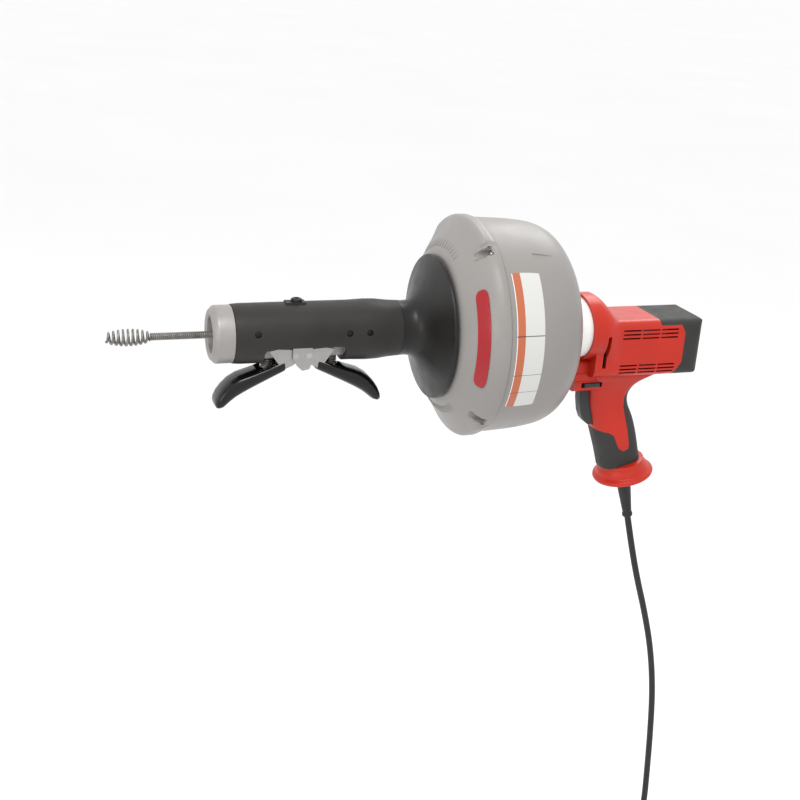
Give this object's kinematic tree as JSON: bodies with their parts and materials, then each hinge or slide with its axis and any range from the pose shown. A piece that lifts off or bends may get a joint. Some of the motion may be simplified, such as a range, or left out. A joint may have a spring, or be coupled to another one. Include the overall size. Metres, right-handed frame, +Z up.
{
  "type": "drain snake machine",
  "caption": "Hand-held electric drain snake: pistol-grip motor turns a cable drum, and a two-lever feed head pushes or draws the cable through its nose collar.",
  "frame": {"origin": "centre of the pistol grip, where a hand holds the machine", "axes": "+X along the machine axis from the nose to the motor, +Y to the operator's right, +Z up; the nose points to -X"},
  "size_m": [0.725, 0.2364, 0.9778],
  "materials": {
    "alloy": "satin cast",
    "red_plastic": "satin moulded",
    "dark_rubber": "soft overmould",
    "black_barrel": "fine moulded grain",
    "cone_plastic": "fine moulded grain",
    "grey_drum": "satin moulded",
    "white_case": "satin",
    "vinyl_grip": "glossy dipped vinyl",
    "zinc_steel": "zinc plated",
    "steel": "machined",
    "spring_steel": "drawn wire",
    "black_screws": "black oxide",
    "copper": "copper",
    "nylon": "natural nylon",
    "cord_rubber": "matt sheath",
    "brass": "bright",
    "core_iron": "laminated",
    "control_plastic": "satin"
  },
  "bodies": {
    "motor_unit": {"gear_case": "white_case", "gear_plate": "alloy", "spindle_bearing": "steel", "motor_bearings": "steel", "stator": "core_iron", "motor_brushes": "brass", "housing_left": "red_plastic", "housing_right": "red_plastic", "rear_cap": "dark_rubber", "grip_overmould": "dark_rubber", "housing_screws": "black_screws", "switch_body": "control_plastic", "grip_flange": "red_plastic", "strain_relief": "cord_rubber", "cord": "cord_rubber", "cord_coil": "cord_rubber", "plug": "cord_rubber", "plug_blades": "brass"},
    "drum": {"drum_cover": "grey_drum", "drum_bowl": "grey_drum", "drum_screws": "steel", "drum_hub": "alloy", "front_bearing": "steel", "inner_drum": "nylon", "stored_cable": "spring_steel", "cable_guide_tube": "steel", "output_gear": "steel", "spindle": "steel"},
    "cable": {"cable": "spring_steel", "bulb_auger": "spring_steel"},
    "idler": {"idler_gear": "steel"},
    "armature": {"armature_shaft": "steel", "armature_core": "core_iron", "commutator": "copper", "cooling_fan": "nylon"},
    "feed_head": {"nose_collar": "alloy", "guide_bushing": "nylon", "barrel_sleeve": "black_barrel", "feed_body": "alloy", "feed_head_screws": "black_screws", "lever_bracket": "zinc_steel", "feed_head_pins": "steel", "neck_tube": "steel", "guard_cone": "cone_plastic", "front_spring": "spring_steel", "rear_spring": "spring_steel"},
    "front_lever": {"front_lever": "zinc_steel", "front_lever_grip": "vinyl_grip"},
    "rear_lever": {"rear_lever": "zinc_steel", "rear_lever_grip": "vinyl_grip"},
    "front_plunger": {"front_plunger": "zinc_steel"},
    "rear_plunger": {"rear_plunger": "zinc_steel"},
    "front_feed_roller": {"front_feed_roller": "steel"},
    "rear_feed_roller": {"rear_feed_roller": "steel"},
    "front_roller_left": {"front_roller_left": "steel"},
    "front_roller_right": {"front_roller_right": "steel"},
    "rear_roller_left": {"rear_roller_left": "steel"},
    "rear_roller_right": {"rear_roller_right": "steel"},
    "trigger": {"trigger": "control_plastic"},
    "reverse_slide": {"reverse_slide": "control_plastic"}
  },
  "joints": [
    {"name": "drum_spin", "type": "hinge", "parent": "motor_unit", "child": "drum", "pos_m": [-0.205, 0, 0.125], "axis": [1, 0, 0], "continuous": true},
    {"name": "cable_feed", "type": "slide", "parent": "drum", "child": "cable", "axis": [-1, 0, 0], "range_m": [-0.04, 0.15]},
    {"name": "idler_spin", "type": "hinge", "parent": "motor_unit", "child": "idler", "pos_m": [-0.045, 0.01229, 0.10986], "axis": [1, 0, 0], "continuous": true},
    {"name": "armature_spin", "type": "hinge", "parent": "motor_unit", "child": "armature", "pos_m": [0.015, 0, 0.099], "axis": [1, 0, 0], "continuous": true},
    {"name": "head_swivel", "type": "hinge", "parent": "motor_unit", "child": "feed_head", "pos_m": [-0.265, 0, 0.125], "axis": [1, 0, 0], "continuous": true},
    {"name": "front_lever_squeeze", "type": "hinge", "parent": "feed_head", "child": "front_lever", "pos_m": [-0.3935, 0, 0.1032], "axis": [0, 1, 0], "range_deg": [0, 8]},
    {"name": "rear_lever_squeeze", "type": "hinge", "parent": "feed_head", "child": "rear_lever", "pos_m": [-0.3795, 0, 0.1032], "axis": [0, -1, 0], "range_deg": [0, 8]},
    {"name": "front_plunger_lift", "type": "slide", "parent": "feed_head", "child": "front_plunger", "axis": [0, 0, 1], "range_m": [0, 0.0041], "stiffness_N_per_m": 800, "springref_m": -0.004, "deforming": ["front_spring"]},
    {"name": "front_feed_roller_spin", "type": "hinge", "parent": "front_plunger", "child": "front_feed_roller", "pos_m": [-0.421, 0, 0.11085], "axis": [0.9659, 0.2588, 0], "continuous": true},
    {"name": "front_roller_left_spin", "type": "hinge", "parent": "feed_head", "child": "front_roller_left", "pos_m": [-0.421, -0.00879, 0.13007], "axis": [0.9659, 0.1294, 0.2241], "continuous": true},
    {"name": "front_roller_right_spin", "type": "hinge", "parent": "feed_head", "child": "front_roller_right", "pos_m": [-0.421, 0.00879, 0.13007], "axis": [0.9659, 0.1294, -0.2241], "continuous": true},
    {"name": "rear_plunger_lift", "type": "slide", "parent": "feed_head", "child": "rear_plunger", "axis": [0, 0, 1], "range_m": [0, 0.0041], "stiffness_N_per_m": 800, "springref_m": -0.004, "deforming": ["rear_spring"]},
    {"name": "rear_feed_roller_spin", "type": "hinge", "parent": "rear_plunger", "child": "rear_feed_roller", "pos_m": [-0.352, 0, 0.11085], "axis": [0.9659, -0.2588, 0], "continuous": true},
    {"name": "rear_roller_left_spin", "type": "hinge", "parent": "feed_head", "child": "rear_roller_left", "pos_m": [-0.352, -0.00879, 0.13007], "axis": [0.9659, -0.1294, -0.2241], "continuous": true},
    {"name": "rear_roller_right_spin", "type": "hinge", "parent": "feed_head", "child": "rear_roller_right", "pos_m": [-0.352, 0.00879, 0.13007], "axis": [0.9659, -0.1294, 0.2241], "continuous": true},
    {"name": "trigger_pull", "type": "slide", "parent": "motor_unit", "child": "trigger", "axis": [1, 0, 0], "range_m": [0, 0.008], "stiffness_N_per_m": 500, "springref_m": -0.004},
    {"name": "reverse_shift", "type": "slide", "parent": "motor_unit", "child": "reverse_slide", "axis": [1, 0, 0], "range_m": [-0.003, 0.003]}
  ],
  "couplings": [
    {"joint": "idler_spin", "follows": "drum_spin", "ratio": -3.3333},
    {"joint": "armature_spin", "follows": "drum_spin", "ratio": 16.19},
    {"joint": "front_plunger_lift", "follows": "front_lever_squeeze", "m_per_rad": 0.0287},
    {"joint": "rear_plunger_lift", "follows": "rear_lever_squeeze", "m_per_rad": 0.0287}
  ]
}
